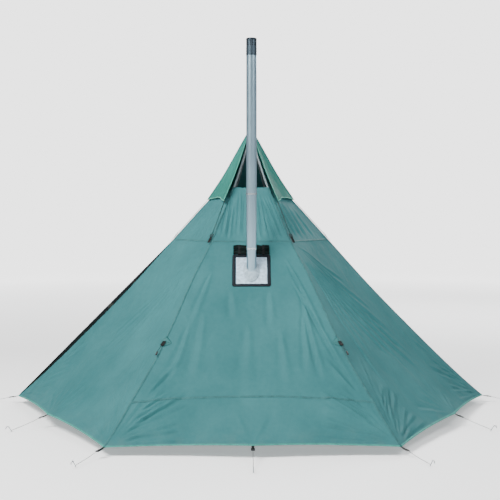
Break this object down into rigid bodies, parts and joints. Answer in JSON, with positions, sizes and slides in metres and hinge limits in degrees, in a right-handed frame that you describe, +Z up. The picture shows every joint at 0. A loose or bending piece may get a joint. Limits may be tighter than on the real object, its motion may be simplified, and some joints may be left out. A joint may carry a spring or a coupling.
{
  "type": "teepee tent",
  "caption": "Six-sided teepee tent on a centre pole, with a stove jack and flue pipe in the front panel, a hooded peak vent and a zipped side door.",
  "frame": {"origin": "on the ground at the foot of the centre pole", "axes": "+Z up along the centre pole, -Y out through the front panel with the stove jack, +X to the right seen from the front"},
  "size_m": [4.6658, 4.284, 3.1467],
  "materials": {
    "fly_fabric": "tight ripstop nylon with a thin coating, soft sheen",
    "hood_fabric": "the same ripstop nylon, greener where it is doubled",
    "edge_tape": "light bound edge",
    "seam_tape": "translucent grey heat-welded seam tape",
    "zip_tape": "dark woven zip tape and gusset",
    "zip_plastic": "black moulded zip slider and pull",
    "webbing": "black woven webbing",
    "buckle_plastic": "black moulded plastic",
    "tie_cord": "dark braided cord",
    "guy_cord": "thin light braided cord",
    "peg_steel": "plain steel wire",
    "jack_sheet": "white silica heat cloth",
    "jack_border": "black heat-proof border cloth",
    "jack_flap": "dark rolled rain flap",
    "stainless": "thin rolled stainless steel",
    "pole_alloy": "anodised aluminium tube",
    "rubber": "black rubber"
  },
  "bodies": {
    "tent": {"back_left_panel": "fly_fabric", "back_panel": "fly_fabric", "back_right_panel": "fly_fabric", "door_toggles": "webbing", "front_hem_band": "fly_fabric", "front_left_panel": "fly_fabric", "front_panel": "fly_fabric", "front_right_panel": "fly_fabric", "ground_cords": "guy_cord", "guyout_cords": "guy_cord", "guyout_patches": "webbing", "hood": "hood_fabric", "hood_binding": "edge_tape", "hood_cords": "tie_cord", "jack_border": "jack_border", "jack_collar": "jack_sheet", "jack_flap": "jack_flap", "jack_sheet": "jack_sheet", "peak_cup": "buckle_plastic", "peak_panels": "fly_fabric", "pegs": "peg_steel", "pole_foot": "rubber", "pole_section_1": "pole_alloy", "pole_section_2": "pole_alloy", "pole_section_3": "pole_alloy", "pole_section_4": "pole_alloy", "pole_tip": "buckle_plastic", "seam_tapes": "seam_tape", "tie_straps": "webbing", "upper_panels": "fly_fabric", "zip_gusset": "zip_tape", "zip_tape": "zip_tape"},
    "door": {"door_flap": "fly_fabric", "door_zip_tape": "zip_tape"},
    "zip_slider": {"zip_slider": "zip_plastic"},
    "zip_pull": {"zip_pull": "zip_plastic"},
    "flue": {"pipe_lower": "stainless", "pipe_middle": "stainless", "pipe_upper": "stainless", "pipe_rings": "stainless"},
    "arrestor": {"arrestor_mesh": "stainless", "arrestor_cap": "stainless"},
    "hood_buckle_1": {"hood_buckle_1": "buckle_plastic"},
    "hood_buckle_2": {"hood_buckle_2": "buckle_plastic"},
    "hood_buckle_3": {"hood_buckle_3": "buckle_plastic"},
    "hood_buckle_4": {"hood_buckle_4": "buckle_plastic"},
    "hood_buckle_5": {"hood_buckle_5": "buckle_plastic"},
    "hood_buckle_6": {"hood_buckle_6": "buckle_plastic"},
    "hem_buckle_1": {"hem_buckle_1": "buckle_plastic"},
    "hem_buckle_2": {"hem_buckle_2": "buckle_plastic"},
    "hem_buckle_3": {"hem_buckle_3": "buckle_plastic"},
    "hem_buckle_4": {"hem_buckle_4": "buckle_plastic"},
    "hem_buckle_5": {"hem_buckle_5": "buckle_plastic"},
    "hem_buckle_6": {"hem_buckle_6": "buckle_plastic"},
    "hem_buckle_7": {"hem_buckle_7": "buckle_plastic"},
    "hem_buckle_8": {"hem_buckle_8": "buckle_plastic"},
    "hem_buckle_9": {"hem_buckle_9": "buckle_plastic"},
    "hem_buckle_10": {"hem_buckle_10": "buckle_plastic"},
    "hem_buckle_11": {"hem_buckle_11": "buckle_plastic"},
    "hem_buckle_12": {"hem_buckle_12": "buckle_plastic"}
  },
  "joints": [
    {"name": "door_swing", "type": "hinge", "parent": "tent", "child": "door", "pos_m": [-1.5, 0.86603, 0.062], "axis": [-0.5645, 0.3259, -0.7583], "range_deg": [0, 150]},
    {"name": "zip_slide", "type": "slide", "parent": "tent", "child": "zip_slider", "axis": [0.7045, 0, 0.7097], "range_m": [0, 1.756]},
    {"name": "zip_pull_swing", "type": "hinge", "parent": "zip_slider", "child": "zip_pull", "pos_m": [-1.95261, 0.00932, 0.10985], "axis": [0.2691, 0.9253, -0.2671], "range_deg": [0, 150]},
    {"name": "pipe_lift", "type": "slide", "parent": "tent", "child": "flue", "axis": [0, 0, 1], "range_m": [0, 0.72]},
    {"name": "arrestor_lift", "type": "slide", "parent": "flue", "child": "arrestor", "axis": [0, 0, 1], "range_m": [0, 0.12]},
    {"name": "hood_buckle_1_tilt", "type": "hinge", "parent": "tent", "child": "hood_buckle_1", "pos_m": [0.64462, 0, 1.44495], "axis": [0, 1, 0], "range_deg": [0, 60]},
    {"name": "hood_buckle_2_tilt", "type": "hinge", "parent": "tent", "child": "hood_buckle_2", "pos_m": [0.32231, 0.55826, 1.44495], "axis": [-0.866, 0.5, 0], "range_deg": [0, 60]},
    {"name": "hood_buckle_3_tilt", "type": "hinge", "parent": "tent", "child": "hood_buckle_3", "pos_m": [-0.32231, 0.55826, 1.44495], "axis": [-0.866, -0.5, 0], "range_deg": [0, 60]},
    {"name": "hood_buckle_4_tilt", "type": "hinge", "parent": "tent", "child": "hood_buckle_4", "pos_m": [-0.64462, 0, 1.44495], "axis": [0, -1, 0], "range_deg": [0, 60]},
    {"name": "hood_buckle_5_tilt", "type": "hinge", "parent": "tent", "child": "hood_buckle_5", "pos_m": [-0.32231, -0.55826, 1.44495], "axis": [0.866, -0.5, 0], "range_deg": [0, 60]},
    {"name": "hood_buckle_6_tilt", "type": "hinge", "parent": "tent", "child": "hood_buckle_6", "pos_m": [0.32231, -0.55826, 1.44495], "axis": [0.866, 0.5, 0], "range_deg": [0, 60]},
    {"name": "hem_buckle_1_tilt", "type": "hinge", "parent": "tent", "child": "hem_buckle_1", "pos_m": [2.04488, 0, 0.05629], "axis": [0, -1, 0], "range_deg": [0, 60]},
    {"name": "hem_buckle_2_tilt", "type": "hinge", "parent": "tent", "child": "hem_buckle_2", "pos_m": [1.58813, 0.91691, 0.08853], "axis": [0.5, -0.866, 0], "range_deg": [0, 60]},
    {"name": "hem_buckle_3_tilt", "type": "hinge", "parent": "tent", "child": "hem_buckle_3", "pos_m": [1.02244, 1.77092, 0.05629], "axis": [0.866, -0.5, 0], "range_deg": [0, 60]},
    {"name": "hem_buckle_4_tilt", "type": "hinge", "parent": "tent", "child": "hem_buckle_4", "pos_m": [0, 1.83382, 0.08853], "axis": [1, 0, 0], "range_deg": [0, 60]},
    {"name": "hem_buckle_5_tilt", "type": "hinge", "parent": "tent", "child": "hem_buckle_5", "pos_m": [-1.02244, 1.77092, 0.05629], "axis": [0.866, 0.5, 0], "range_deg": [0, 60]},
    {"name": "hem_buckle_6_tilt", "type": "hinge", "parent": "tent", "child": "hem_buckle_6", "pos_m": [-1.58813, 0.91691, 0.08853], "axis": [0.5, 0.866, 0], "range_deg": [0, 60]},
    {"name": "hem_buckle_7_tilt", "type": "hinge", "parent": "tent", "child": "hem_buckle_7", "pos_m": [-2.04488, 0, 0.05629], "axis": [0, 1, 0], "range_deg": [0, 60]},
    {"name": "hem_buckle_8_tilt", "type": "hinge", "parent": "tent", "child": "hem_buckle_8", "pos_m": [-1.58813, -0.91691, 0.08853], "axis": [-0.5, 0.866, 0], "range_deg": [0, 60]},
    {"name": "hem_buckle_9_tilt", "type": "hinge", "parent": "tent", "child": "hem_buckle_9", "pos_m": [-1.02244, -1.77092, 0.05629], "axis": [-0.866, 0.5, 0], "range_deg": [0, 60]},
    {"name": "hem_buckle_10_tilt", "type": "hinge", "parent": "tent", "child": "hem_buckle_10", "pos_m": [0, -1.83457, 0.07992], "axis": [-1, 0, 0], "range_deg": [0, 60]},
    {"name": "hem_buckle_11_tilt", "type": "hinge", "parent": "tent", "child": "hem_buckle_11", "pos_m": [1.02244, -1.77092, 0.05629], "axis": [-0.866, -0.5, 0], "range_deg": [0, 60]},
    {"name": "hem_buckle_12_tilt", "type": "hinge", "parent": "tent", "child": "hem_buckle_12", "pos_m": [1.58813, -0.91691, 0.08853], "axis": [-0.5, -0.866, 0], "range_deg": [0, 60]}
  ]
}
